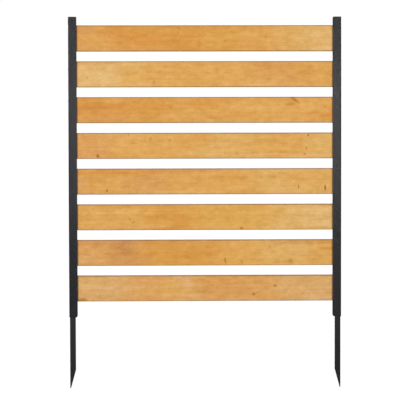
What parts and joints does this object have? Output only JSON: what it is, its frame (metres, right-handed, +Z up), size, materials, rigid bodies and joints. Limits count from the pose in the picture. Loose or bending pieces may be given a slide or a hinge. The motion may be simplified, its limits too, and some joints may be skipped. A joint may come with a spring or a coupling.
{
  "type": "no dig privacy screen",
  "caption": "Upright garden screen of level stained boards with open gaps, held between two black steel channel posts with pointed stakes in their feet.",
  "frame": {"origin": "on the foot of the left post, in the middle of its web's thickness and depth, at ground level", "axes": "+X along the screen from the left post to the right post, +Y from the front of the screen to its back, +Z up"},
  "size_m": [0.97, 0.0266, 1.321],
  "materials": {
    "black_steel": "satin black powder coat",
    "stake_steel": "matt black powder coat",
    "stained_wood": "amber stained softwood with fine level grain and small knots, satin",
    "screw_steel": "black coated steel screws and bolts"
  },
  "bodies": {
    "root": {"left_post": "black_steel", "right_post": "black_steel", "left_stake": "stake_steel", "right_stake": "stake_steel", "board_1": "stained_wood", "board_2": "stained_wood", "board_3": "stained_wood", "board_4": "stained_wood", "board_5": "stained_wood", "board_6": "stained_wood", "board_7": "stained_wood", "board_8": "stained_wood"}
  },
  "joints": []
}
